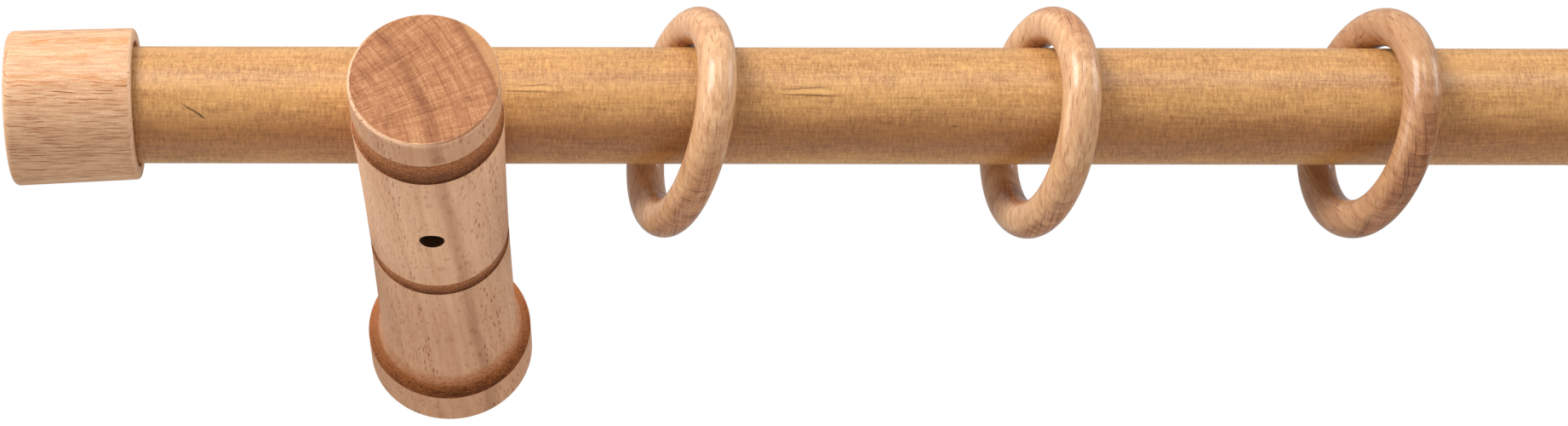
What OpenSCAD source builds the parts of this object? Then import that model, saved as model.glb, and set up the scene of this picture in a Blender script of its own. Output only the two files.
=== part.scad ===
// Wooden curtain rod set: a round rod on two turned brackets, with end caps and rings.
// Origin: centre of the left bracket's wall face. +X runs along the rod, +Y into the wall, +Z up.

/* [Rod] */
// Diameter of the rod
rod_d = 28; // [25:1:29]
// Length of the rod
rod_len = 1000; // [980:10:1500]
// Length of rod beyond the middle of each bracket
overhang = 95; // [90:5:120]
// Rounding of the rod's end edges
rod_edge_r = 1; // [0.5:0.5:2]

/* [Bracket] */
// Length of a bracket from the wall to its front face
bracket_len = 133; // [125:1:150]
// Distance from the wall to the rod's axis
rod_reach = 87; // [84:1:90]
// Height of the rod's axis above the bracket's axis
rod_rise = 20.2; // [19:0.1:22]
// Diameter of the turned head at the front
head_d = 35.3; // [34:0.1:36]
// Length of the head in front of the wide groove
head_len = 9.6; // [8:0.1:12]
// Diameter of the body just behind the wide groove
body_d = 35.8; // [35:0.1:37]
// Diameter of the body at its waist
waist_d = 33.6; // [32:0.1:35]
// Diameter of the wall flange
flange_d = 40.7; // [38:0.1:45]
// Thickness of the wall flange at its rim
flange_t = 11.7; // [9:0.1:13]
// Radius of the cove that joins the body to the flange
cove_r = 5; // [4.5:0.1:6]

/* [Grooves] */
// Width of the scorched groove behind the head
wide_groove_w = 8; // [5:0.5:9]
// Depth of the scorched groove behind the head
wide_groove_t = 0.6; // [0.3:0.1:1]
// Width of the scorched groove on the body
narrow_groove_w = 4.6; // [3:0.1:6]
// Distance from the wall to the near edge of the body's groove
narrow_groove_y = 59.8; // [55:0.1:64]
// Depth of the scorched groove on the body
narrow_groove_t = 0.4; // [0.2:0.1:0.8]

/* [Saddle and lock screw] */
// Gap between the rod and the saddle it lies in
saddle_gap = 0.3; // [0.2:0.1:0.5]
// Diameter of the deep hole that hides the screw's head
sink_d = 6; // [6:0.5:7]
// Height of the screw head's seat above the bracket's axis (negative is below)
seat_z = -4.5; // [-7:0.5:-3]
// Diameter of the clearance hole for the screw's shank
shank_hole_d = 4; // [4:0.1:4.4]
// Outer diameter of the screw's thread
thread_d = 3.4; // [3:0.1:3.4]
// Length of the screw below its head
screw_len = 20; // [16:1:22]
// Pitch of the screw's thread
thread_pitch = 1.6; // [1.2:0.1:2]

/* [Wall fixing] */
// Bore of the threaded insert (M8)
insert_bore_d = 8; // [6:2:8]
// Outer diameter of the threaded insert
insert_d = 12; // [11:1:14]
// Length of the threaded insert
insert_len = 16; // [12:1:20]

/* [End cap] */
// Diameter at the closed end
cap_d = 37; // [36:0.1:40]
// Diameter at the open end
cap_mouth_d = 36.3; // [35:0.1:38]
// Overall length
cap_len = 30.2; // [28:0.1:36]
// Wood left beyond the end of the rod
cap_web_t = 6; // [4:0.5:8]
// Diameter of the socket that slips over the rod
cap_bore_d = 30; // [30:0.1:30.6]
// Droop of the loose cap, in degrees
cap_droop = 2.6; // [0:0.1:2.8]

/* [Rings] */
// Outer diameter of a ring
ring_od = 56.2; // [54:0.1:60]
// Diameter of a ring's round section
ring_tube_d = 9.2; // [8:0.1:9.8]
// Middle of the left bracket to the middle of the first ring
ring_first = 58.6; // [45:0.1:62]
// Average spacing of the rings
ring_pitch = 82.5; // [60:0.5:82.5]
// Extra shift of every second ring
ring_shift = 3.5; // [0:0.5:4]

/* [Hidden] */
$fn = 96;

// Turn and lean of the hanging rings, repeated along the rod, in degrees
ring_turns = [22, 21.5, 25.5];
ring_leans = [0, -3, -1.5];
// Gap left between a hanging ring and the top of the rod
hang_gap = 0.35;
// Gap between the insert and its pocket, and the pocket's extra depth
insert_gap = 0.05;
insert_relief = 4;
// Drop of the cap's axis below the rod's axis at the middle of its grip
cap_sag = 0.2;
// Gap between the rod's end and the bottom of the cap's socket
end_gap = 0.7;
// Overshoot of the cutting shapes
cut = 1;
edge_r = 0.5;

bracket_span = rod_len - 2 * overhang;
rod_r = rod_d / 2;
saddle_r = rod_r + saddle_gap;
pilot_depth = seat_z + screw_len - (rod_rise - rod_r) + 1;
groove_front = bracket_len - head_len;
groove_rear = groove_front - wide_groove_w;
narrow_front = narrow_groove_y + narrow_groove_w;
waist_y = narrow_front + 5.6;
skirt_y = flange_t + cove_r * cos(asin((cove_r - (flange_d - waist_d) / 2) / cove_r));
head_r = head_d / 2;
body_r = body_d / 2;
waist_r = waist_d / 2;
flange_r = flange_d / 2;
cap_r = cap_d / 2;
cap_mouth_r = cap_mouth_d / 2;
cap_grip = cap_len - cap_web_t;
cap_edge_r = 1.6;
cap_lip_r = 1;
screw_head_d = 5.4;
screw_head_t = 2.2;
ring_r = (ring_od - ring_tube_d) / 2;
ring_drop = ring_r - ring_tube_d / 2 - rod_r - hang_gap;

// Arc of points about [x, y], from angle a to angle b
function arc(x, y, r, a, b, steps = 8) =
    [for (i = [0 : steps]) [x + r * cos(a + (b - a) * i / steps), y + r * sin(a + (b - a) * i / steps)]];

// Stands a turned shape, drawn with its axis up, on the wall at a place along the rod
module on_wall(x) {
    translate([x, 0, 0]) rotate([90, 0, 0]) children();
}

// Outline of a bracket: radius against distance from the wall
module bracket_outline() {
    cove_end = asin((flange_r - waist_r - cove_r) / cove_r) - 90;
    polygon(concat(
        [[0, 0]],
        arc(flange_r - edge_r, edge_r, edge_r, -90, 0, 3),
        arc(waist_r + cove_r, skirt_y, cove_r, cove_end, -180, 10),
        [
            [waist_r, narrow_groove_y],
            [waist_r - narrow_groove_t, narrow_groove_y + 0.4],
            [waist_r - narrow_groove_t, narrow_front - 0.4],
            [waist_r, narrow_front],
            [waist_r, waist_y],
            [body_r, groove_rear],
            [body_r - wide_groove_t, groove_rear + 0.4],
            [head_r - wide_groove_t, groove_front - 0.4],
            [head_r, groove_front]
        ],
        arc(head_r - edge_r, bracket_len - edge_r, edge_r, 0, 90, 3),
        [[0, bracket_len]]
    ));
}

// Turned bracket with a saddle for the rod, a screw hole from below and a pocket at the wall
module bracket(x) {
    pocket_d = insert_d + 2 * insert_gap;
    difference() {
        on_wall(x) rotate_extrude() bracket_outline();
        translate([x, -rod_reach, rod_rise]) rotate([0, 90, 0]) {
            cylinder(r = saddle_r, h = body_d + 2 * cut, center = true);
        }
        translate([x, -rod_reach, -body_r]) cylinder(d = sink_d, h = body_r + seat_z, $fn = 48);
        translate([x, -rod_reach, seat_z - cut]) cylinder(d = shank_hole_d, h = body_r, $fn = 48);
        on_wall(x) translate([0, 0, -cut]) cylinder(d = pocket_d, h = insert_len + insert_relief + cut);
    }
}

module left_bracket() {
    color("burlywood") bracket(0);
}

module right_bracket() {
    color("burlywood") bracket(bracket_span);
}

// Round rod with a pilot hole above each bracket for the lock screw
module rod() {
    color("sandybrown") difference() {
        translate([-overhang, -rod_reach, rod_rise]) rotate([0, 90, 0]) rotate_extrude() {
            polygon(concat(
                [[0, 0]],
                arc(rod_r - rod_edge_r, rod_edge_r, rod_edge_r, -90, 0, 4),
                arc(rod_r - rod_edge_r, rod_len - rod_edge_r, rod_edge_r, 0, 90, 4),
                [[0, rod_len]]
            ));
        }
        for (x = [0, bracket_span]) {
            translate([x, -rod_reach, rod_rise - rod_r - cut]) {
                cylinder(d = shank_hole_d, h = pilot_depth + cut, $fn = 48);
            }
        }
    }
}

// Turned cap with its closed end at the origin and its socket facing +X
module end_cap() {
    rotate([0, 90, 0]) rotate_extrude() polygon(concat(
        [[0, 0]],
        arc(cap_r - cap_edge_r, cap_edge_r, cap_edge_r, -90, 0, 6),
        arc(cap_mouth_r - cap_lip_r, cap_len - cap_lip_r, cap_lip_r, 0, 90, 6),
        [
            [cap_bore_d / 2 + 0.4, cap_len],
            [cap_bore_d / 2, cap_len - 0.4],
            [cap_bore_d / 2, cap_web_t],
            [0, cap_web_t]
        ]
    ));
}

// Cap on the rod's left end: it droops about the middle of its grip
module drooping_cap() {
    translate([-overhang + cap_grip / 2, -rod_reach, rod_rise - cap_sag]) {
        rotate([0, -cap_droop, 0]) translate([-cap_web_t - cap_grip / 2 - end_gap, 0, 0]) end_cap();
    }
}

module left_end_cap() {
    color("wheat") drooping_cap();
}

module right_end_cap() {
    color("wheat") translate([bracket_span, 0, 0]) mirror([1, 0, 0]) drooping_cap();
}

// Threaded brass sleeve, flush with the wall face and open towards the wall
module wall_insert(x) {
    color("goldenrod") on_wall(x) difference() {
        cylinder(d = insert_d, h = insert_len);
        translate([0, 0, -cut]) cylinder(d = insert_bore_d, h = insert_len + 2 * cut);
    }
}

// Wood screw driven up from below: pan head, cross slot, ridged shank and point
module lock_screw(x) {
    point_len = 3;
    core_r = thread_d / 2 - 0.5;
    neck_len = 3;
    turns = floor((screw_len - point_len - neck_len) / thread_pitch);
    slot = 0.9;
    color("silver") translate([x, -rod_reach, seat_z]) difference() {
        rotate_extrude($fn = 48) polygon(concat(
            [[0, -screw_head_t], [screw_head_d / 2 - 0.6, -screw_head_t]],
            [[screw_head_d / 2, -screw_head_t + 0.6], [screw_head_d / 2, 0], [core_r, 0], [core_r, neck_len]],
            [for (i = [0 : turns - 1], p = [0, 0.5]) [
                p == 0 ? core_r : thread_d / 2,
                neck_len + (i + p) * thread_pitch
            ]],
            [[core_r, neck_len + turns * thread_pitch], [core_r, screw_len - point_len], [0, screw_len]]
        ));
        for (a = [0, 90]) {
            translate([0, 0, -screw_head_t]) rotate([0, 0, a]) {
                cube([3.4, slot, 2.4], center = true);
            }
        }
    }
}

// Ring number i, counted from 0, hanging from the top of the rod
module ring(i) {
    x = ring_first + i * ring_pitch + (i % 2) * ring_shift;
    color("navajowhite") translate([x, -rod_reach, rod_rise - ring_drop]) {
        rotate([0, ring_leans[i % 3], ring_turns[i % 3]]) rotate([0, 90, 0]) {
            rotate_extrude() translate([ring_r, 0]) circle(d = ring_tube_d, $fn = 48);
        }
    }
}

rod();
left_bracket();
right_bracket();
left_end_cap();
right_end_cap();
wall_insert(0);  // left_wall_insert
wall_insert(bracket_span);  // right_wall_insert
lock_screw(0);  // left_lock_screw
lock_screw(bracket_span);  // right_lock_screw
ring(0);  // ring_1
ring(1);  // ring_2
ring(2);  // ring_3
ring(3);  // ring_4
ring(4);  // ring_5
ring(5);  // ring_6
ring(6);  // ring_7
ring(7);  // ring_8
ring(8);  // ring_9
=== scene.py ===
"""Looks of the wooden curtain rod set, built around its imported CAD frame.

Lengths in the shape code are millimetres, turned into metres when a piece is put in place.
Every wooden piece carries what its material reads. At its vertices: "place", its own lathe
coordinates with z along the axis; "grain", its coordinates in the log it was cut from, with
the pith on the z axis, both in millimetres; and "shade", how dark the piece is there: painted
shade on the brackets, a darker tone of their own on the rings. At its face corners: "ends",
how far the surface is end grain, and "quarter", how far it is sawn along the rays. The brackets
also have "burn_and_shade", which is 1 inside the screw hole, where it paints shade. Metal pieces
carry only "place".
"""

import math

import bmesh
import bpy
import numpy as np
from mathutils import Matrix, Vector


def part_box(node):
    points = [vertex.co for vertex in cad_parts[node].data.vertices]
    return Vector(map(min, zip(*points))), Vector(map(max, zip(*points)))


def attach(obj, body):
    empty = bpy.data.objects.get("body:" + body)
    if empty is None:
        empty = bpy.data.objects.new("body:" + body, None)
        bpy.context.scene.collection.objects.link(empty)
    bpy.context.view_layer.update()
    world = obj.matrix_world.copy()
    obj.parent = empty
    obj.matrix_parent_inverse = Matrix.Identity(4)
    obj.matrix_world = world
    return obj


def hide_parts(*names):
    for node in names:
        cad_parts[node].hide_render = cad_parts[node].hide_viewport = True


MM = 0.001

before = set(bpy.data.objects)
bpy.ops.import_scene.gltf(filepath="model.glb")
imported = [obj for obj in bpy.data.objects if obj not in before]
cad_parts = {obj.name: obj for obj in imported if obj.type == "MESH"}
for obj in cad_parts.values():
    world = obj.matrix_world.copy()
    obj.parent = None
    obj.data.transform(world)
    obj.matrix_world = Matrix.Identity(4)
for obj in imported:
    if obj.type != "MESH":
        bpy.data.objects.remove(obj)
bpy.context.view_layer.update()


# ---------------------------------------------------------------- shapes

def arc(x, y, radius, start, end, steps=8):
    """Points of an arc about (x, y), from angle start to angle end in degrees."""
    angles = [math.radians(start + (end - start) * i / steps) for i in range(steps + 1)]
    return [(x + radius * math.cos(a), y + radius * math.sin(a)) for a in angles]


def finer(outline, step):
    """The same outline with no stretch longer than step."""
    points = [outline[0]]
    for (r0, h0), (r1, h1) in zip(outline, outline[1:]):
        parts = max(1, math.ceil(math.hypot(r1 - r0, h1 - h0) / step))
        points += [(r0 + (r1 - r0) * i / parts, h0 + (h1 - h0) * i / parts) for i in range(1, parts + 1)]
    return points


def lathe(name, outline, segments=160, closed=False):
    """A turned mesh: outline is (radius, height), with the axis along z."""
    mesh = bmesh.new()
    rows = []
    for radius, height in outline:
        if radius < 1e-6:
            rows.append([mesh.verts.new((0, 0, height))])
        else:
            turn = [2 * math.pi * i / segments for i in range(segments)]
            rows.append([mesh.verts.new((radius * math.cos(t), radius * math.sin(t), height)) for t in turn])
    pairs = list(zip(rows, rows[1:] + ([rows[0]] if closed else [])))
    for low, high in pairs[: len(rows) if closed else len(rows) - 1]:
        for i in range(segments):
            j = (i + 1) % segments
            corners = [low[i % len(low)], low[j % len(low)], high[j % len(high)], high[i % len(high)]]
            corners = [v for k, v in enumerate(corners) if v not in corners[:k]]
            if len(corners) > 2:
                mesh.faces.new(corners)
    bmesh.ops.recalc_face_normals(mesh, faces=mesh.faces)
    data = bpy.data.meshes.new(name)
    mesh.to_mesh(data)
    mesh.free()
    piece = bpy.data.objects.new(name, data)
    bpy.context.scene.collection.objects.link(piece)
    return piece


def drill(piece, matrix, radius, length, segments=96):
    """Cuts a round hole out of piece: it starts at the matrix's origin and runs along its z."""
    cutter = lathe("cutter", [(0, 0), (radius, 0), (radius, length), (0, length)], segments)
    cutter.data.transform(matrix)
    cut = piece.modifiers.new("cut", "BOOLEAN")
    cut.operation = "DIFFERENCE"
    cut.solver = "EXACT"
    cut.object = cutter
    bpy.context.view_layer.update()
    done = bpy.data.meshes.new_from_object(piece.evaluated_get(bpy.context.evaluated_depsgraph_get()))
    piece.modifiers.remove(cut)
    old = piece.data
    piece.data = done
    bpy.data.meshes.remove(old)
    bpy.data.objects.remove(cutter)


def write_points(data, name, values):
    """Stores one vector for each vertex."""
    layer = data.attributes.new(name, "FLOAT_VECTOR", "POINT")
    layer.data.foreach_set("vector", np.asarray(values, np.float32).ravel())


def write_values(data, name, domain, values):
    """Stores one number for each vertex or face corner."""
    layer = data.attributes.new(name, "FLOAT", domain)
    layer.data.foreach_set("value", np.asarray(values, np.float32))


def grain_frame(along, pith, seed):
    """Rotation and shift from lathe to log millimetres: along is the grain, pith points at the pith."""
    z = Vector(along).normalized()
    x = -(Vector(pith) - Vector(pith).dot(z) * z)
    reach = x.length
    x.normalize()
    y = z.cross(x)
    return np.array(Matrix((x, y, z))), np.array((reach, 0, 137.0 * seed))


def finish_wood(piece, along, pith, seed, shade=0.0, sharp=32.0):
    """Stores where the points were in the log, how the surface cuts the grain, and how dark it is."""
    data = piece.data
    data.set_sharp_from_angle(angle=math.radians(sharp))
    for face in data.polygons:
        face.use_smooth = True
    place = np.array([v.co for v in data.vertices], float)
    rotation, shift = grain_frame(along, pith, seed)
    log = place @ rotation.T + shift
    write_points(data, "place", place)
    write_points(data, "grain", log)
    write_values(data, "shade", "POINT", np.broadcast_to(shade, len(place)))
    normals = np.zeros(len(data.loops) * 3, np.float32)
    data.corner_normals.foreach_get("vector", normals)
    normals = normals.reshape(-1, 3)
    fibres = np.array(Vector(along).normalized())
    log = log[[corner.vertex_index for corner in data.loops]]
    rings = np.stack((-log[:, 1], log[:, 0], 0 * log[:, 0]), 1) @ rotation
    rings /= np.linalg.norm(rings, axis=1, keepdims=True)
    for name, direction in (("ends", fibres), ("quarter", rings)):
        write_values(data, name, "CORNER", np.abs((normals * direction).sum(1)))


def put(piece, matrix, body, node):
    """Turns a millimetre mesh into metres at matrix and lets it stand for its CAD node."""
    piece.data.transform(matrix @ Matrix.Scale(MM, 4))
    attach(piece, body)
    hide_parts(node)


def middle(node):
    """Centre of a CAD node's box, in metres."""
    low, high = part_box(node)
    return (low + high) / 2


# ---------------------------------------------------------------- materials

def linear(red, green, blue):
    """Display colour from 0 to 255 as a linear colour."""
    def one(c):
        c /= 255
        return c / 12.92 if c <= 0.04045 else ((c + 0.055) / 1.055) ** 2.4
    return (one(red), one(green), one(blue), 1.0)


class Graph:
    """Short calls that build a material's nodes."""

    def __init__(self, name):
        self.material = bpy.data.materials.new(name)
        self.material.use_nodes = True
        self.tree = self.material.node_tree
        self.tree.nodes.clear()

    def node(self, kind, inputs=(), **settings):
        made = self.tree.nodes.new("ShaderNode" + kind)
        for key, value in settings.items():
            setattr(made, key, value)
        for socket, value in dict(inputs).items():
            self.feed(made.inputs[socket], value)
        return made

    def feed(self, socket, value):
        if isinstance(value, bpy.types.NodeSocket):
            self.tree.links.new(value, socket)
        else:
            socket.default_value = value

    def math(self, operation, a, b=0.0, clamp=False):
        return self.node("Math", {0: a, 1: b}, operation=operation, use_clamp=clamp).outputs[0]

    def add(self, a, b):
        return self.math("ADD", a, b)

    def times(self, a, b):
        return self.math("MULTIPLY", a, b)

    def vector(self, operation, a, b):
        return self.node("VectorMath", {0: a, 1: b}, operation=operation).outputs[0]

    def attribute(self, name):
        return self.node("Attribute", attribute_name=name)

    def scaled(self, vector, scale):
        """vector divided, axis by axis, by the lengths in scale."""
        return self.vector("MULTIPLY", vector, tuple(1.0 / s for s in scale))

    def noise(self, vector, scale=(1, 1, 1), detail=2.0, rough=0.5):
        """Noise from 0 to 1 whose grains are about as long as scale, in millimetres."""
        inputs = {"Vector": self.scaled(vector, scale), "Scale": 1.0, "Detail": detail, "Roughness": rough}
        return self.node("TexNoise", inputs).outputs["Fac"]

    def smooth(self, value, low, high, out_low=0.0, out_high=1.0):
        """Eases from out_low to out_high as value goes from low to high."""
        inputs = {"Value": value, "From Min": low, "From Max": high, "To Min": out_low, "To Max": out_high}
        return self.node("MapRange", inputs, interpolation_type="SMOOTHSTEP").outputs["Result"]

    def mix(self, share, a, b, blend="MIX"):
        made = self.node("Mix", data_type="RGBA", blend_type=blend)
        self.feed(made.inputs[0], share)
        self.feed(made.inputs[6], a)
        self.feed(made.inputs[7], b)
        return made.outputs[2]

    def bump(self, height, depth):
        """height times depth, in millimetres, as a bump."""
        bump = self.node("Bump", {"Height": height, "Distance": depth * MM, "Strength": 1.0})
        return bump.outputs["Normal"]

    def surface(self, **inputs):
        """The shader: Base_Color stands for its Base Color input, and so on."""
        shader = self.node("BsdfPrincipled", {key.replace("_", " "): value for key, value in inputs.items()})
        self.node("OutputMaterial", {"Surface": shader.outputs[0]})


class Grain:
    """What a wood material reads.

    polar is the place in the log as distance from the pith, distance round it and height; radius is
    the first of these. band is each year's tone and line its late dark edge. slant and quarter are
    the "ends" and "quarter" attributes.
    """

    def __init__(self, g, sway, ring_width):
        self.grain = g.attribute("grain").outputs["Vector"]
        self.place = g.attribute("place").outputs["Vector"]
        self.slant = g.attribute("ends").outputs["Fac"]
        self.quarter = g.attribute("quarter").outputs["Fac"]
        wave = g.node("TexNoise", {"Vector": g.scaled(self.grain, (26, 26, 60)), "Scale": 1.0, "Detail": 2.0})
        wave = g.vector("SUBTRACT", wave.outputs["Color"], (0.5, 0.5, 0.5))
        log = g.vector("ADD", self.grain, g.vector("MULTIPLY", wave, (sway, sway, 0.0)))
        x, y, z = g.node("SeparateXYZ", {0: log}).outputs
        self.radius = g.math("SQRT", g.add(g.times(x, x), g.times(y, y)))
        round_it = g.times(g.math("ARCTAN2", y, x), 60.0)
        self.polar = g.node("CombineXYZ", {0: self.radius, 1: round_it, 2: z}).outputs[0]
        wobble = g.times(g.add(g.noise(self.polar, (6, 22, 70), 2.0), -0.5), 1.9)
        turns = g.math("DIVIDE", g.add(self.radius, wobble), ring_width)
        phase = g.math("FRACT", turns)
        year = g.node("TexWhiteNoise", {"W": g.math("FLOOR", turns)}, noise_dimensions="1D").outputs["Value"]
        late = g.smooth(phase, 0.30, 0.92, -0.2, 0.35)
        fade = g.times(g.smooth(phase, 0.0, 0.35), g.smooth(phase, 1.0, 0.88))
        self.band = g.times(g.add(g.times(g.add(year, -0.5), 0.8), late), fade)
        line = g.times(g.smooth(phase, 0.80, 0.93), g.smooth(phase, 1.0, 0.965))
        self.line = g.times(line, g.smooth(g.noise(self.polar, (9, 8, 26), 2.0), 0.38, 0.62))


def ray_flecks(g, wood, width, length, reach, wave, low, high):
    """Rays cut by the surface, from 0 to 1: short dashes on a flat-sawn side, bars on a quarter-sawn one."""
    cell = (reach * 1.1, width * 3.0, length * 1.2)
    lens = (reach / 2, width / 2, length / 2)
    waved = g.noise(wood.polar, (9.0, 5.0, length * 0.9), 2.0)
    shift = g.node("CombineXYZ", {0: 0.0, 1: g.times(g.add(waved, -0.5), wave), 2: 0.0}).outputs[0]
    at = g.scaled(g.vector("ADD", wood.polar, shift), cell)
    spots = g.node("TexVoronoi", {"Vector": at, "Scale": 1.0, "Randomness": 1.0}, feature="F1")
    stretch = tuple(c / s for c, s in zip(cell, lens))
    apart = g.vector("MULTIPLY", g.vector("SUBTRACT", at, spots.outputs["Position"]), stretch)
    apart = g.node("VectorMath", {0: apart}, operation="LENGTH").outputs["Value"]
    chance = g.node("SeparateColor", {0: spots.outputs["Color"]}).outputs[0]
    hollow = g.times(g.smooth(apart, 0.95, 0.45), g.smooth(wood.quarter, 0.93, 0.985))
    filled = g.math("SUBTRACT", 1.0, g.times(hollow, 0.75))
    return g.times(g.times(g.smooth(apart, 1.2, 0.6), g.smooth(chance, low, high)), filled)


def side_tone(g, wood, light, dark, weights, fibre_size, weave_size):
    """Colour of a surface along the fibres. weights: broad, fibre, band, weave, speckle."""
    fibre = g.noise(wood.polar, fibre_size, 3.0, 0.65)
    weave = g.noise(wood.polar, weave_size, 2.0, 0.6)
    parts = (
        g.add(g.noise(wood.polar, (5.0, 9.0, 40.0), 2.0), -0.5),
        g.add(fibre, -0.5),
        wood.band,
        g.add(weave, -0.5),
        g.add(g.noise(wood.grain, (0.42, 0.42, 0.55), 2.0, 0.6), -0.5),
    )
    tone = 0.42
    for part, weight in zip(parts, weights):
        tone = g.add(g.times(part, weight), tone)
    return g.mix(g.math("ADD", tone, 0.0, clamp=True), light, dark), fibre, weave


def end_tone(g, wood, light, mid, dark, rays=0.55):
    """Colour of end grain: faint bands, a fine net along the rings and the rays, and long thin rays."""
    along_ring = g.noise(wood.polar, (0.55, 12.0, 400.0), 2.0, 0.6)
    along_ray = g.noise(wood.polar, (10.0, 0.50, 400.0), 2.0, 0.6)
    patch = g.noise(wood.polar, (2.2, 3.6, 400.0), 3.0, 0.65)
    speckle = g.noise(wood.grain, (0.40, 0.40, 4.0), 2.0, 0.65)
    tone = g.times(wood.band, 0.10)
    for value, weight in ((along_ring, 1.2), (along_ray, 1.2), (patch, 1.0), (speckle, 1.3)):
        tone = g.add(tone, g.times(g.add(value, -0.5), weight))
    tone = g.math("ADD", tone, 0.46, clamp=True)
    colour = g.mix(g.smooth(tone, 0.0, 0.55), light, mid)
    colour = g.mix(g.smooth(tone, 0.50, 1.10), colour, dark)
    long_ray = ray_flecks(g, wood, 0.34, 90.0, 26.0, 1.5, 0.30, 0.8)
    colour = g.mix(g.times(long_ray, rays), colour, dark)
    return g.mix(g.times(wood.line, 0.45), colour, dark)


def heart_stripe(g, wood, colour, radius, half_width, depth):
    """One darker growth band, at radius from the pith, which shows on the end and all along the side."""
    wave = g.times(g.add(g.noise(wood.polar, (30.0, 14.0, 40.0), 2.0), -0.5), half_width * 1.6)
    off = g.math("ABSOLUTE", g.add(g.add(wood.radius, -radius), wave))
    share = g.times(g.smooth(off, half_width, half_width * 0.15), depth)
    return g.mix(share, colour, (0.60, 0.50, 0.47, 1.0), "MULTIPLY")


BROWNED = (188, 112, 56)
BURNT = (90, 46, 15)
# Painted shade inside the deep screw hole.
HOLE_SHADE = (46, 24, 12)
LESS_HEAT = 0.15
# Painted shade on the grooves: extra heat, so darker, below and to the right.
PAINTED_SHADE_BELOW = 0.012
PAINTED_SHADE_RIGHT = 0.0025


def scorched(g, place, colour, bands, pale):
    """Turned grooves browned by friction, most at their start, and made darker towards their underside and
    right side as painted shade.

    bands: start, end, least and most heat, how soft the cooler edge is, and how strong the painted highlight
    on the rim past it.
    PAINTED_SHADE_BELOW and PAINTED_SHADE_RIGHT are the rise in heat for each millimetre from the axis, which
    paints shade below and to the right.
    """
    browned, burn_and_shade = linear(*BROWNED), linear(*BURNT)
    x, y, z = g.node("SeparateXYZ", {0: place}).outputs
    fuzz = g.add(g.noise(place, (1.1, 1.1, 0.9), 3.0, 0.65), -0.5)
    streak = g.noise(place, (5.0, 5.0, 0.22), 2.0, 0.6)
    grit = g.noise(place, (0.55, 0.55, 0.40), 2.0, 0.6)
    # Painted shade: more heat, so darker grooves, towards the underside and the right.
    shade_below_right = g.add(g.add(g.times(y, -PAINTED_SHADE_BELOW), g.times(x, PAINTED_SHADE_RIGHT)), -LESS_HEAT)
    for low, high, least, most, soft, paleness in bands:
        z_soft = g.add(z, g.times(fuzz, soft * 1.4))
        into = g.math("SUBTRACT", 1.0, g.math("DIVIDE", g.add(z_soft, -low), high - low))
        heat = g.smooth(into, 0.25, 1.1, least, most)
        inside = g.times(g.smooth(z, low - 0.10, low + 0.05), g.smooth(z_soft, high + soft, high - soft))
        heat = g.add(heat, g.times(g.add(streak, -0.5), 0.45))
        heat = g.add(g.add(heat, g.times(g.add(grit, -0.5), 0.75)), shade_below_right)
        share = g.times(g.smooth(heat, 0.05, 0.75), inside)
        tone = g.mix(g.smooth(heat, 0.42, 1.0), browned, burn_and_shade)
        # Painted highlight: a pale line along the rim just past each groove's cooler edge.
        rim = g.times(g.smooth(z_soft, high, high + 0.1), g.smooth(z_soft, high + 0.6, high + 0.35))
        colour = g.mix(g.times(rim, paleness), colour, pale)
        colour = g.mix(g.times(share, 0.97), colour, tone)
    return colour


def shaded(g, colour):
    """Darkened by the piece's "shade": painted shade on the brackets, a darker tone of their own on the
    rings.
    """
    return g.mix(g.attribute("shade").outputs["Fac"], colour, (0.50, 0.36, 0.26, 1.0), "MULTIPLY")


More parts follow.
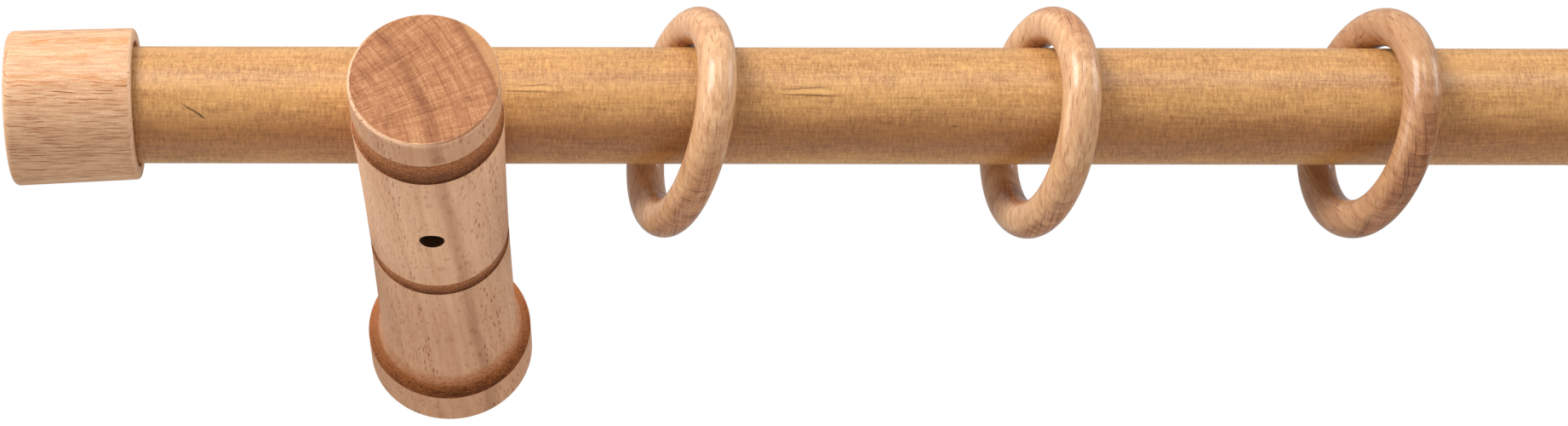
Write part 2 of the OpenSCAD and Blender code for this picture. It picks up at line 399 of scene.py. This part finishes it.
def beech(name, tones, weights, fibre_size, fleck, fleck_share, ring_width, sway, ends, finish,
          rays=0.55, bands=(), sap=(), stripe=(), rim=()):
    """Beech.

    tones: light, dark, fleck, flake, end light, end middle and end dark, as display colours.
    fleck: width, length, reach into the wood, how far they wander, and how rare they are.
    ends: how much of the end grain's colour shows, and the slants where it starts and is full.
    finish: roughness, varnish, the varnish's roughness, and depth of the grain.
    sap: where the sapwood starts, from the pith, and its tone. stripe and rim go to heart_stripe
    and worn_rim_and_highlight, bands to scorched.
    """
    g = Graph(name)
    light, dark, fleck_tone, flake_tone, end_light, end_mid, end_dark = [linear(*t) for t in tones]
    wood = Grain(g, sway, ring_width)
    width, length, reach, wave, rare = fleck
    side = g.smooth(wood.slant, 0.85, 0.45)
    dashes = ray_flecks(g, wood, width, length, reach, wave, rare, rare + 0.65)
    specks = ray_flecks(g, wood, width * 0.85, length * 0.6, reach * 0.8, wave / 2, rare + 0.15, rare + 0.65)
    dashes = g.math("MAXIMUM", g.times(dashes, side), g.times(g.times(specks, side), 0.75))
    colour, fibre, weave = side_tone(g, wood, light, dark, weights, fibre_size, (2.6, 2.6, 0.34))
    ray_tone = g.mix(g.smooth(wood.quarter, 0.86, 0.97), fleck_tone, flake_tone)
    colour = g.mix(g.times(dashes, fleck_share), colour, ray_tone)
    end_colour = end_tone(g, wood, end_light, end_mid, end_dark, rays)
    if sap:
        border, sap_tone = sap
        pale = g.smooth(wood.radius, border - 0.5, border + 1.2)
        end_colour = g.mix(g.times(pale, 0.55), end_colour, linear(*sap_tone))
        edge = g.smooth(wood.radius, border - 1.8, border - 0.2)
        edge = g.times(edge, g.smooth(wood.radius, border + 0.3, border))
        end_colour = g.mix(g.times(edge, 0.6), end_colour, end_dark)
    depth, start, full = ends
    colour = g.mix(g.times(g.smooth(wood.slant, start, full), depth), colour, end_colour)
    if stripe:
        colour = heart_stripe(g, wood, colour, *stripe)
    pits = 0.0
    # A pale rim, partly wear and partly painted highlight, with dark chips.
    if rim:
        colour, pits = worn_rim_and_highlight(g, wood.place, colour, light, fleck_tone, *rim)
    if bands:
        colour = scorched(g, wood.place, colour, bands, light)
        # Painted shade: the walls of the deep screw hole are made nearly black.
        colour = g.mix(g.times(g.attribute("burn_and_shade").outputs["Fac"], 0.92), colour, linear(*HOLE_SHADE))
    colour = shaded(g, colour)
    roughness, coat, coat_roughness, grain_depth = finish
    height = g.add(g.times(fibre, 0.8), g.times(dashes, -0.9))
    height = g.add(g.add(height, g.times(weave, 0.25)), g.times(pits, -3.0))
    rough = g.add(g.times(fibre, 0.30), roughness - 0.15)
    g.surface(
        Base_Color=colour, Roughness=rough, Normal=g.bump(height, grain_depth), Coat_Weight=coat,
        Coat_Roughness=coat_roughness, Specular_IOR_Level=0.2,
    )
    return g.material


def worn_rim_and_highlight(g, place, colour, pale, dark, radius, height, width, worn_and_lit_side):
    """A paler edge on the front face, on the side that worn_and_lit_side points to, with a few dark chips:
    the chips are wear, the pale edge is partly wear and partly a painted highlight.

    Returns the colour and where the chips are.
    """
    x, y, z = g.node("SeparateXYZ", {0: place}).outputs
    out = g.math("SQRT", g.add(g.times(x, x), g.times(y, y)))
    side = g.add(g.times(x, worn_and_lit_side[0] / radius), g.times(y, worn_and_lit_side[1] / radius))
    front = g.smooth(z, height - 0.9, height - 0.5)
    uneven = g.times(g.add(g.noise(place, (1.3, 1.3, 1.3), 3.0, 0.6), -0.5), width)
    edge = g.smooth(g.add(out, uneven), radius - width * 1.25, radius - width * 0.7)
    edge = g.times(g.times(edge, front), g.smooth(side, 0.0, 0.7))
    # Partly wear, partly painted highlight: the pale edge on the lit side.
    colour = g.mix(g.times(edge, 0.75), colour, pale)
    chip = g.smooth(g.noise(place, (0.62, 0.62, 0.62), 1.0), 0.66, 0.72)
    chip = g.times(chip, g.smooth(side, 0.55, 0.85))
    chip = g.times(chip, g.times(g.smooth(out, radius - width * 2.6, radius - width * 1.2), front))
    pore = g.smooth(g.noise(place, (0.50, 0.50, 0.50), 1.0), 0.66, 0.74)
    near = g.times(g.smooth(out, radius * 0.35, radius * 0.8), g.smooth(side, -0.05, 0.55))
    chip = g.math("MAXIMUM", chip, g.times(g.times(pore, near), g.times(front, 0.45)))
    return g.mix(g.times(chip, 0.9), colour, dark), chip


def stained(name, tones, finish, deep, marks):
    """The rod: pale close-grained wood under a honey stain that shows every fine line across and along it.

    tones: light, dark, end light, end middle and end dark. finish: roughness, varnish and depth of
    the grain. deep is where round the rod a painted shade band is darkest and how far that reaches
    to both sides, in degrees. marks go to pressed_mark.
    """
    g = Graph(name)
    light, dark, end_light, end_mid, end_dark = [linear(*t) for t in tones]
    wood = Grain(g, 3.0, 5.5)
    weights = (0.50, 1.05, 0.20, 1.30, 1.00)
    colour, fibre, weave = side_tone(g, wood, light, dark, weights, (0.62, 0.62, 9.0), (2.2, 2.2, 0.55))
    blotch = g.noise(wood.place, (6.0, 6.0, 22.0), 3.0, 0.65)
    colour = g.mix(g.smooth(blotch, 0.45, 0.75, 0.0, 0.40), colour, light)
    cloud = g.noise(wood.place, (3.0, 3.0, 5.0), 3.0, 0.65)
    colour = g.mix(g.smooth(cloud, 0.48, 0.78, 0.0, 0.22), colour, dark)
    x, y, z = g.node("SeparateXYZ", {0: wood.place}).outputs
    # Painted shade: a darker band along the rod's underside, a little towards the front.
    turn, reach = math.radians(deep[0]), math.radians(deep[1])
    sway = g.times(g.add(g.noise(wood.place, (60.0, 60.0, 90.0), 2.0), -0.5), reach * 0.5)
    off = g.math("ABSOLUTE", g.add(g.add(g.math("ARCTAN2", y, x), -turn), sway))
    painted_shade = g.smooth(off, reach, reach * 0.2, 0.0, 0.62)
    colour = g.mix(painted_shade, colour, (0.53, 0.30, 0.05, 1.0), "MULTIPLY")
    end_colour = end_tone(g, wood, end_light, end_mid, end_dark)
    colour = g.mix(g.smooth(wood.slant, 0.6, 0.95, 0.0, 0.9), colour, end_colour)
    for mark in marks:
        colour = pressed_mark(g, wood.place, colour, *mark)
    colour = shaded(g, colour)
    roughness, coat, grain_depth = finish
    height = g.add(g.times(fibre, 0.5), g.times(weave, 0.5))
    rough = g.add(g.times(weave, 0.16), roughness - 0.08)
    g.surface(
        Base_Color=colour, Roughness=rough, Normal=g.bump(height, grain_depth), Coat_Weight=coat,
        Coat_Roughness=0.32, Specular_IOR_Level=0.4,
    )
    return g.material


def pressed_mark(g, place, colour, tone, height, turn, length, width, slope, depth):
    """A thin mark on a turned piece: height and turn, in degrees, give its middle, slope its direction."""
    x, y, z = g.node("SeparateXYZ", {0: place}).outputs
    radius = g.math("SQRT", g.add(g.times(x, x), g.times(y, y)))
    round_it = g.times(g.add(g.math("ARCTAN2", y, x), -math.radians(turn)), radius)
    along = g.add(z, -height)
    lean = math.radians(slope)
    u = g.add(g.times(along, math.cos(lean)), g.times(round_it, math.sin(lean)))
    v = g.add(g.times(along, -math.sin(lean)), g.times(round_it, math.cos(lean)))
    v = g.add(v, g.times(g.add(g.noise(place, (6.0, 6.0, 6.0), 2.0), -0.5), width * 1.2))
    u = g.math("DIVIDE", u, length / 2)
    v = g.math("DIVIDE", v, width / 2)
    reach = g.math("SQRT", g.add(g.times(u, u), g.times(v, v)))
    return g.mix(g.times(g.smooth(reach, 1.0, 0.3), depth), colour, linear(*tone))


def metal(name, tone, roughness, streak):
    """Turned metal with fine tool marks round its axis, streak deep."""
    g = Graph(name)
    place = g.attribute("place").outputs["Vector"]
    marks = g.noise(place, (4.0, 4.0, 0.12), 3.0, 0.6)
    patches = g.noise(place, (1.5, 1.5, 1.5), 3.0, 0.6)
    dull = tuple(c * 0.72 for c in linear(*tone)[:3]) + (1.0,)
    colour = g.mix(g.smooth(patches, 0.35, 0.75), linear(*tone), dull)
    rough = g.add(g.times(patches, 0.18), g.add(g.times(marks, 0.12), roughness - 0.15))
    g.surface(Base_Color=colour, Roughness=rough, Normal=g.bump(marks, streak), Metallic=1.0)
    return g.material


# ---------------------------------------------------------------- driving sizes, millimetres

rod_low, rod_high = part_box("rod")
bracket_low, bracket_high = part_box("left_bracket")
ROD_R = (rod_high.z - rod_low.z) / 2 / MM
ROD_LEN = (rod_high.x - rod_low.x) / MM
ROD_RISE = middle("rod").z / MM
ROD_REACH = -middle("rod").y / MM
BRACKET_LEN = (bracket_high.y - bracket_low.y) / MM
FLANGE_R = (bracket_high.x - bracket_low.x) / 2 / MM
FLANGE_T = 11.7
COVE_R = 5.0
WAIST_R = 16.8
WAIST_AT = 52.0
BODY_R = 17.9
HEAD_R = 17.65
HEAD_LEN = 9.6
CHAMFER = 0.45
WIDE_GROOVE = (BRACKET_LEN - HEAD_LEN - 8.0, BRACKET_LEN - HEAD_LEN)
WIDE_DEPTH = 0.6
NARROW_GROOVE = (59.8, 64.4)
NARROW_DEPTH = 0.4
BODY_SWELL = (BODY_R - WAIST_R) / (WIDE_GROOVE[0] - WAIST_AT) ** 2
SADDLE_R = ROD_R + 0.3
SINK_R = 3.0
SEAT = -4.5
SHANK_R = 2.0
POCKET_R = 6.05
POCKET_LEN = 20.0
# Painted shade on the brackets: how much darker the head's side, the flange and the lower body are made,
# where the lower body's shade starts and how far it fades.
HEAD_PAINTED_SHADE = 0.36
FLANGE_PAINTED_SHADE = 0.50
LOW_PAINTED_SHADE = 0.34
PAINTED_SHADE_FROM = 78.0
PAINTED_SHADE_FADE = 36.0


# ---------------------------------------------------------------- pieces

def body_radius(at):
    """The body narrows in a long hollow curve towards its waist."""
    return WAIST_R + BODY_SWELL * max(0.0, at - WAIST_AT) ** 2


def groove(outline, low, high, depth, before, after):
    """A shallow groove from low to high with crisp rims and a slightly hollow floor."""
    soft = 0.2
    outline += arc(before - soft, low - soft, soft, 0, 80, 4)
    for i in range(15):
        share = i / 14
        hollow = depth * (0.86 + 0.14 * math.sin(math.pi * share))
        outline.append((before + (after - before) * share - hollow, low + 0.22 + (high - low - 0.44) * share))
    outline += arc(after - soft, high + soft, soft, -80, 0, 4)


def bracket_outline():
    """Radius against distance from the wall."""
    skirt = FLANGE_T + math.sqrt(COVE_R ** 2 - (WAIST_R + COVE_R - FLANGE_R) ** 2)
    cove_end = -math.degrees(math.acos((FLANGE_R - WAIST_R - COVE_R) / COVE_R))
    soft = 0.2
    outline = [(0, 0), (FLANGE_R - 0.6, 0)]
    outline += arc(FLANGE_R - 0.5, 0.5, 0.5, -80, 0, 6)
    outline += arc(FLANGE_R - soft, FLANGE_T - soft, soft, 0, 60, 4)
    outline += arc(WAIST_R + COVE_R, skirt, COVE_R, cove_end - 1, -180, 26)
    (low, high), (wide_low, wide_high) = NARROW_GROOVE, WIDE_GROOVE
    outline += [(body_radius(at), at) for at in np.linspace(skirt + 1, low - 0.3, 24)]
    groove(outline, low, high, NARROW_DEPTH, body_radius(low), body_radius(high))
    outline += [(body_radius(at), at) for at in np.linspace(high + 0.3, wide_low - 0.3, 30)]
    groove(outline, wide_low, wide_high, WIDE_DEPTH, BODY_R, HEAD_R)
    outline += [(HEAD_R, BRACKET_LEN - CHAMFER), (HEAD_R - 0.05, BRACKET_LEN - CHAMFER + 0.08)]
    outline += [(HEAD_R - CHAMFER + 0.12, BRACKET_LEN - 0.12), (HEAD_R - CHAMFER, BRACKET_LEN)]
    outline += [(HEAD_R * (1 - i / 8), BRACKET_LEN) for i in range(1, 8)] + [(0, BRACKET_LEN)]
    return finer(outline, 1.6)


def paint_hole_shade(piece):
    """Marks the walls of the deep screw hole, which are painted dark as shade."""
    burn_and_shade = []
    for face in piece.data.polygons:
        x, y, z = face.center
        inside = y < SEAT + 0.1 and math.hypot(x, z - ROD_REACH) < SINK_R
        burn_and_shade += [float(inside)] * face.loop_total
    write_values(piece.data, "burn_and_shade", "CORNER", burn_and_shade)


def bracket_painted_shade(height):
    """Painted shade: the flange, the lower body and the head's side are made darker than the middle of the
    body.
    """
    head_side = (height > WIDE_GROOVE[1]) & (height < BRACKET_LEN - CHAMFER - 0.05)
    flange = height < FLANGE_T
    low_body = np.clip((PAINTED_SHADE_FROM - height) / PAINTED_SHADE_FADE, 0.0, 1.0) * ~flange
    return HEAD_PAINTED_SHADE * head_side + FLANGE_PAINTED_SHADE * flange + LOW_PAINTED_SHADE * low_body


def make_bracket(side, x, along, pith, seed, material):
    """One bracket, turned with its wall face down, then drilled and laid out from the wall."""
    piece = lathe(side + "_bracket_wood", bracket_outline(), 240)
    upright = Matrix.Translation((0, ROD_RISE, ROD_REACH))
    across = upright @ Matrix.Rotation(math.pi / 2, 4, "Y") @ Matrix.Translation((0, 0, -30))
    drill(piece, across, SADDLE_R, 60, 240)
    down = Matrix.Translation((0, SEAT, ROD_REACH)) @ Matrix.Rotation(math.pi / 2, 4, "X")
    drill(piece, down, SINK_R, 30)
    up = Matrix.Translation((0, SEAT - 1, ROD_REACH)) @ Matrix.Rotation(-math.pi / 2, 4, "X")
    drill(piece, up, SHANK_R, 20)
    drill(piece, Matrix.Translation((0, 0, -1)), POCKET_R, POCKET_LEN + 1)
    finish_wood(piece, along, pith, seed, bracket_painted_shade(np.array([v.co.z for v in piece.data.vertices])))
    paint_hole_shade(piece)
    piece.data.materials.append(material)
    out = Matrix.Translation((x, 0, 0)) @ Matrix.Rotation(math.pi / 2, 4, "X")
    put(piece, out, "brackets", side + "_bracket")


def make_rod(material):
    """The rod, with its ends eased and a pilot hole from below over each bracket."""
    edge = 1.0
    outline = [(0, 0)] + arc(ROD_R - edge, edge, edge, -90, 0, 6)
    outline += [(ROD_R, ROD_LEN * i / 40) for i in range(1, 40)]
    outline += arc(ROD_R - edge, ROD_LEN - edge, edge, 0, 90, 6) + [(0, ROD_LEN)]
    piece = lathe("rod_wood", outline, 192)
    turned = Matrix.Rotation(math.pi / 2, 4, "Y")
    for node in ("left_lock_screw", "right_lock_screw"):
        at = (middle(node).x - rod_low.x) / MM
        inwards = Matrix.Translation((ROD_R + 1, 0, at)) @ Matrix.Rotation(-math.pi / 2, 4, "Y")
        drill(piece, inwards, SHANK_R, 11.5, 48)
    finish_wood(piece, (0.010, 0.006, 1), (-48, 22, 0), 3)
    piece.data.materials.append(material)
    place = Matrix.Translation((rod_low.x, middle("rod").y, middle("rod").z)) @ turned
    put(piece, place, "rod", "rod")


CAP_R = 18.5
CAP_MOUTH_R = 18.15
CAP_LEN = 30.2
CAP_WEB = 6.0
CAP_BORE_R = 15.0
CAP_DROOP = 2.6
CAP_SAG = 0.2
END_GAP = 0.7


def make_cap(side, material, pith, seed):
    """A cap slipped loosely over the rod's end, so that it droops a little about the middle of its grip."""
    outline = finer([(0, 0), (CAP_R - 1.6, 0)], 2.0)
    outline += arc(CAP_R - 1.6, 1.6, 1.6, -80, 0, 10)
    outline += finer([(CAP_R, 1.7), (CAP_MOUTH_R, CAP_LEN - 1.1)], 1.5)
    outline += arc(CAP_MOUTH_R - 1.0, CAP_LEN - 1.0, 1.0, 0, 90, 8)
    outline += arc(CAP_BORE_R + 0.5, CAP_LEN - 0.5, 0.5, 90, 180, 6)
    outline += finer([(CAP_BORE_R, CAP_LEN - 0.6), (CAP_BORE_R, CAP_WEB)], 3.0) + [(0, CAP_WEB)]
    piece = lathe(side + "_cap_wood", outline, 200)
    finish_wood(piece, (0.03, 0.02, 1), pith, seed)
    piece.data.materials.append(material)
    inward = 1.0 if side == "left" else -1.0
    rod_end = rod_low.x if side == "left" else rod_high.x
    grip = CAP_LEN - CAP_WEB
    pivot = Vector((rod_end + inward * grip / 2 * MM, middle("rod").y, middle("rod").z - CAP_SAG * MM))
    droop = math.radians(CAP_DROOP)
    axis = Vector((inward * math.cos(droop), 0, math.sin(droop)))
    side_axis = Vector((0, 1, 0))
    turn = Matrix((side_axis.cross(axis), side_axis, axis)).transposed().to_4x4()
    start = pivot - axis * (CAP_WEB + grip / 2 + END_GAP) * MM
    put(piece, Matrix.Translation(start) @ turn, side + "_cap", side + "_end_cap")


RING_TUBE_R = 4.6
RING_TURNS = (22.0, 21.5, 25.5)
RING_LEANS = (0.0, -3.0, -1.5)
RING_SHADES = (0.08, 0.06, 0.55, 0.1, 0.25, 0.0, 0.15, 0.35, 0.05)
RING_GRAINS = (3.0, 24.0, -24.0, 61.0, 8.0, -70.0, 32.0, 90.0, -15.0)


def make_ring(number, material):
    """A ring cut from a board: its grain runs straight through it, at RING_GRAINS degrees from upright."""
    node = f"ring_{number}"
    low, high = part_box(node)
    hoop_r = (high.z - low.z) / MM / 2 - RING_TUBE_R
    outline = [(hoop_r + dx, dz) for dx, dz in arc(0, 0, RING_TUBE_R, 0, 360, 56)[:-1]]
    piece = lathe(f"ring_{number}_wood", outline, 220, closed=True)
    slant = math.radians(RING_GRAINS[number - 1])
    along = (math.cos(slant), math.sin(slant), 0.06)
    pith = (-60 * math.sin(slant), 60 * math.cos(slant), 14)
    finish_wood(piece, along, pith, 10 + number, RING_SHADES[number - 1], 180)
    piece.data.materials.append(material)
    turn = math.radians(RING_TURNS[(number - 1) % 3])
    lean = math.radians(RING_LEANS[(number - 1) % 3] + 90)
    turned = Matrix.Rotation(turn, 4, "Z") @ Matrix.Rotation(lean, 4, "Y")
    put(piece, Matrix.Translation(middle(node)) @ turned, node, node)


def plain_points(piece):
    """Gives a metal piece its lathe coordinates and clean shading."""
    piece.data.set_sharp_from_angle(angle=math.radians(30))
    for face in piece.data.polygons:
        face.use_smooth = True
    write_points(piece.data, "place", [v.co for v in piece.data.vertices])


def make_insert(side, material):
    """A threaded sleeve in the back of a bracket."""
    low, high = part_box(side + "_wall_insert")
    length = (high.y - low.y) / MM
    outer = (high.x - low.x) / 2 / MM
    bore, pitch, ridge = 4.0, 1.25, 0.55
    outline = [(outer - 0.4, 0), (outer, 0.4), (outer, length - 0.3), (outer - 0.3, length)]
    outline += [(bore + 0.1, length)]
    turns = int((length - 1.0) / pitch)
    for i in range(turns, 0, -1):
        outline += [(bore + 0.02, i * pitch + 0.2), (bore + ridge, i * pitch - pitch / 2 + 0.2)]
    outline += [(bore + 0.02, 0.75), (bore + 0.7, 0)]
    piece = lathe(side + "_insert_brass", outline, 96, closed=True)
    plain_points(piece)
    piece.data.materials.append(material)
    x = (low.x + high.x) / 2
    matrix = Matrix.Translation((x, 0, 0)) @ Matrix.Rotation(math.pi / 2, 4, "X")
    put(piece, matrix, "brackets", side + "_wall_insert")


def make_screw(side, material):
    """Pan head with a cross slot, a ridged shank and a point, drawn with the head down."""
    head_r, head_t, core, crest, neck, pitch, length, point = 2.7, 2.2, 1.2, 1.7, 3.0, 1.6, 20.0, 3.0
    outline = [(0, -head_t), (head_r - 1.0, -head_t)] + arc(head_r - 1.0, -head_t + 1.0, 1.0, -80, 0, 8)
    outline += [(head_r, -0.15), (head_r - 0.15, 0), (core, 0), (core, neck)]
    turns = int((length - point - neck) / pitch)
    for i in range(turns):
        rise = neck + i * pitch
        outline += [(core, rise + 0.3), (crest, rise + 0.75), (crest, rise + 0.85), (core, rise + 1.3)]
    outline += [(core, length - point), (0, length)]
    piece = lathe(side + "_screw_steel", outline, 72)
    slot = bmesh.new()
    for angle in (0, math.pi / 2):
        box = bmesh.ops.create_cube(slot, size=1.0)["verts"]
        bmesh.ops.scale(slot, vec=(3.4, 0.9, 2.4), verts=box)
        bmesh.ops.rotate(slot, matrix=Matrix.Rotation(angle, 3, "Z"), verts=box)
        bmesh.ops.translate(slot, vec=(0, 0, -head_t), verts=box)
    data = bpy.data.meshes.new("slot")
    slot.to_mesh(data)
    slot.free()
    cutter = bpy.data.objects.new("slot", data)
    bpy.context.scene.collection.objects.link(cutter)
    cut = piece.modifiers.new("cut", "BOOLEAN")
    cut.solver = "EXACT"
    cut.use_self = True
    cut.object = cutter
    bpy.context.view_layer.update()
    piece.data = bpy.data.meshes.new_from_object(piece.evaluated_get(bpy.context.evaluated_depsgraph_get()))
    piece.modifiers.clear()
    bpy.data.objects.remove(cutter)
    plain_points(piece)
    piece.data.materials.append(material)
    low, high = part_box(side + "_lock_screw")
    seat = low.z + head_t * MM
    place = Matrix.Translation(((low.x + high.x) / 2, (low.y + high.y) / 2, seat))
    put(piece, place, side + "_screw", side + "_lock_screw")


bracket_wood = beech(
    "bracket_beech",
    tones=(
        (240, 196, 160), (208, 153, 116), (144, 80, 46), (176, 116, 80),
        (190, 136, 94), (166, 110, 72), (130, 78, 48),
    ),
    weights=(0.55, 0.95, 0.30, 0.30, 0.70), fibre_size=(0.7, 0.7, 9.0),
    fleck=(0.26, 2.6, 5.5, 0.25, 0.24), fleck_share=0.70, ring_width=3.0, sway=1.6,
    ends=(1.0, 0.52, 0.74), finish=(0.62, 0.0, 0.26, 0.05),
    bands=(
        (WIDE_GROOVE[0], WIDE_GROOVE[1] - 0.2, 0.64, 0.88, 0.3, 0.55),
        (NARROW_GROOVE[0], NARROW_GROOVE[1] - 0.2, 0.62, 0.85, 0.25, 0.55),
        (FLANGE_T, FLANGE_T + 4.8, 0.38, 0.77, 1.7, 0.0),
    ),
    sap=(76.4, (196, 146, 98)), stripe=(60.0, 2.6, 0.50), rim=(HEAD_R, BRACKET_LEN, 0.6, (-0.85, -0.5)),
)
cap_wood = beech(
    "cap_beech",
    tones=(
        (228, 189, 152), (176, 115, 68), (140, 74, 32), (216, 138, 74),
        (236, 200, 164), (216, 174, 136), (180, 130, 92),
    ),
    weights=(0.50, 1.50, 0.15, 0.20, 0.45), fibre_size=(0.62, 0.62, 7.0),
    fleck=(0.25, 6.8, 6.5, 1.3, 0.0), fleck_share=0.85, ring_width=3.6, sway=2.4,
    ends=(0.9, 0.6, 0.95), finish=(0.50, 0.08, 0.26, 0.08), rim=(CAP_MOUTH_R, CAP_LEN, 1.6, (0.5, -0.85)),
)
ring_wood = beech(
    "ring_beech",
    tones=(
        (224, 180, 136), (184, 130, 90), (118, 66, 38), (166, 106, 66),
        (212, 156, 110), (176, 118, 78), (92, 48, 24),
    ),
    weights=(0.70, 1.70, 0.45, 0.20, 0.45), fibre_size=(0.72, 0.72, 14.0),
    fleck=(0.22, 4.0, 4.4, 0.3, 0.20), fleck_share=0.52, ring_width=2.6, sway=2.0,
    ends=(0.92, 0.50, 0.85), finish=(0.40, 0.40, 0.14, 0.05), rays=0.95,
)
rod_wood = stained(
    "stained_rod",
    tones=((212, 160, 98), (144, 92, 48), (180, 128, 78), (150, 100, 56), (108, 68, 36)),
    # deep places a painted shade band along the rod's underside.
    finish=(0.42, 0.18, 0.03), deep=(-24.0, 36.0),
    marks=(
        ((70, 44, 20), 38.0, -54.0, 8.0, 0.62, 33.0, 0.85),
        ((56, 34, 16), 40.0, -48.8, 3.4, 0.80, 33.0, 0.80),
        ((230, 180, 110), 184.2, -73.0, 20.0, 1.7, 0.0, 0.45),
        ((104, 60, 26), 184.4, -69.9, 22.0, 0.7, 1.5, 0.75),
        ((104, 60, 26), 183.0, -76.6, 17.0, 0.6, -1.5, 0.60),
        ((90, 54, 26), 218.8, -39.5, 2.8, 0.5, 0.0, 0.7),
        ((230, 180, 110), 118.0, -76.0, 16.0, 1.6, 1.5, 0.5),
        ((104, 60, 26), 117.0, -73.2, 17.0, 0.7, 3.0, 0.6),
        ((104, 60, 26), 119.0, -79.4, 12.0, 0.6, -2.0, 0.5),
    ),
)
brass = metal("insert_brass", (206, 170, 98), 0.32, 0.01)
steel = metal("screw_steel", (190, 190, 186), 0.30, 0.008)

make_rod(rod_wood)
span = middle("right_bracket").x
make_bracket("left", 0.0, (-0.05, -0.02, 1), (-48.9, -25.4, 0), 1, bracket_wood)
make_bracket("right", span, (-0.02, 0.015, 1), (40, -44, 0), 2, bracket_wood)
make_cap("left", cap_wood, (46.5, -24.4, 0), 5)
make_cap("right", cap_wood, (-38, 30, 0), 6)
for side in ("left", "right"):
    make_insert(side, brass)
    make_screw(side, steel)
for number in range(1, 10):
    make_ring(number, ring_wood)


# ---------------------------------------------------------------- camera and light

def aim(yaw, pitch, roll):
    """A camera that looks along +Y when all three angles are 0."""
    turns = (Matrix.Rotation(math.radians(yaw), 4, "Z"), Matrix.Rotation(math.radians(90 + pitch), 4, "X"))
    return turns[0] @ turns[1] @ Matrix.Rotation(math.radians(roll), 4, "Z")


CAMERA_AT = (0.0676, -1.0576, -0.5518)
CAMERA_TURN = (-0.92, 29.2, -0.38)
CAMERA_LENS = 107.66

camera_data = bpy.data.cameras.new("camera")
camera_data.lens = CAMERA_LENS
camera_data.sensor_width = 36.0
camera_data.clip_end = 50
camera = bpy.data.objects.new("camera", camera_data)
camera.matrix_world = Matrix.Translation(CAMERA_AT) @ aim(*CAMERA_TURN)
bpy.context.scene.collection.objects.link(camera)
bpy.context.scene.camera = camera


def softbox(name, place, target, width, height, power, colour=(1, 1, 1)):
    """A soft rectangular lamp at place, turned to target, that the camera doesn't see."""
    data = bpy.data.lights.new(name, "AREA")
    data.shape = "RECTANGLE"
    data.size = width
    data.size_y = height
    data.energy = power
    data.color = colour
    lamp = bpy.data.objects.new(name, data)
    lamp.location = place
    lamp.rotation_euler = (Vector(target) - Vector(place)).to_track_quat("-Z", "Y").to_euler()
    lamp.visible_camera = False
    bpy.context.scene.collection.objects.link(lamp)


def studio_world(sky, backdrop):
    """Even soft light of strength sky, behind a plain backdrop that only the camera sees."""
    world = bpy.data.worlds.new("studio")
    world.use_nodes = True
    tree = world.node_tree
    light = tree.nodes["Background"]
    light.inputs["Color"].default_value = (1, 1, 1, 1)
    light.inputs["Strength"].default_value = sky
    plain = tree.nodes.new("ShaderNodeBackground")
    plain.inputs["Color"].default_value = (1, 1, 1, 1)
    plain.inputs["Strength"].default_value = backdrop
    path = tree.nodes.new("ShaderNodeLightPath")
    mix = tree.nodes.new("ShaderNodeMixShader")
    tree.links.new(path.outputs["Is Camera Ray"], mix.inputs[0])
    tree.links.new(light.outputs[0], mix.inputs[1])
    tree.links.new(plain.outputs[0], mix.inputs[2])
    tree.links.new(mix.outputs[0], tree.nodes["World Output"].inputs["Surface"])
    bpy.context.scene.world = world


centre = Vector((0.25, -0.087, 0.02))
softbox("key", (-0.9, -1.55, 0.80), centre, 1.0, 0.9, 38, (0.98, 0.99, 1.0))
softbox("front", (0.55, -1.9, 0.90), centre, 0.5, 1.0, 9)
softbox("side", (-1.9, -0.7, 0.15), centre, 0.9, 0.9, 10)
softbox("right", (1.9, -0.4, 0.90), centre, 0.9, 0.9, 13)
softbox("bounce", (0.3, 0.65, -1.2), centre, 2.4, 0.6, 4.5, (1.0, 0.86, 0.74))
softbox("overhead", (0.1, -0.5, 1.7), centre, 2.6, 1.0, 3, (0.75, 0.92, 1.0))
studio_world(0.48, 1.0)


# ---------------------------------------------------------------- floor

floor_mesh = bmesh.new()
bmesh.ops.create_circle(floor_mesh, cap_ends=True, segments=96, radius=60)
floor_data = bpy.data.meshes.new("floor")
floor_mesh.to_mesh(floor_data)
floor_mesh.free()
floor = bpy.data.objects.new("floor", floor_data)
floor.location = (0.4, 0, -1.7)
bpy.context.scene.collection.objects.link(floor)
paper = Graph("floor_paper")
seen = paper.node("LightPath").outputs["Is Camera Ray"]
paper.surface(
    Base_Color=(0.80, 0.79, 0.77, 1), Roughness=0.9, Emission_Color=(1, 1, 1, 1),
    Emission_Strength=paper.times(seen, 0.56),
)
floor_data.materials.append(paper.material)

bpy.context.scene.view_settings.view_transform = "Standard"
bpy.context.scene.view_settings.look = "None"
